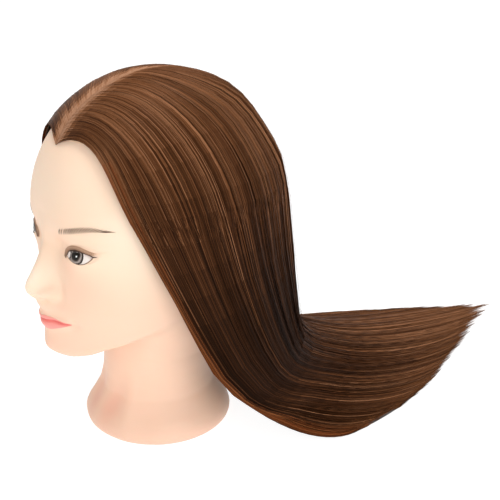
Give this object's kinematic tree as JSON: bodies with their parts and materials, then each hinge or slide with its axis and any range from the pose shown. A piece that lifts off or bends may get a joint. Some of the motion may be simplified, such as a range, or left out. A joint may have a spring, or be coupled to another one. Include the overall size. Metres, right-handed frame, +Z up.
{
  "type": "mannequin training head",
  "caption": "Hairdressing practice head: soft vinyl face and flared neck on a foam core, clamp socket underneath, and long straight rooted hair that lies back on the table.",
  "frame": {"origin": "centre of the neck's flat underside, at the mouth of the clamp socket", "axes": "+Z up through the neck, -Y the way the face looks, +X the head's own left"},
  "size_m": [0.2334, 0.4912, 0.2959],
  "materials": {
    "skin_vinyl": "soft matte skin-tone vinyl, painted brows, eyes and lips",
    "scalp_vinyl": "skin-tone vinyl, pierced row by row for the hair roots",
    "rigid_foam": "cut rigid polyurethane foam",
    "root_glue": "brushed glue coat",
    "base_plastic": "moulded cream plastic",
    "socket_plastic": "moulded off-white plastic",
    "brown_hair": "straight chestnut brown hair, silky"
  },
  "bodies": {
    "head": {"head_shell": "skin_vinyl", "foam_core": "rigid_foam", "neck_base_plate": "base_plastic", "clamp_socket": "socket_plastic", "root_lock_layer": "root_glue", "scalp_cap": "scalp_vinyl", "hair_top_left": "brown_hair", "hair_top_right": "brown_hair", "hair_side_left": "brown_hair", "hair_side_right": "brown_hair", "hair_back_left": "brown_hair", "hair_back_right": "brown_hair", "hair_nape": "brown_hair"},
    "hair_tail": {"tail_left": "brown_hair", "tail_centre": "brown_hair", "tail_right": "brown_hair", "tail_nape": "brown_hair"}
  },
  "joints": [
    {"name": "tail_swing", "type": "hinge", "parent": "head", "child": "hair_tail", "pos_m": [0, 0.11, 0.045], "axis": [0, 0, 1], "range_deg": [-15, 15]}
  ]
}
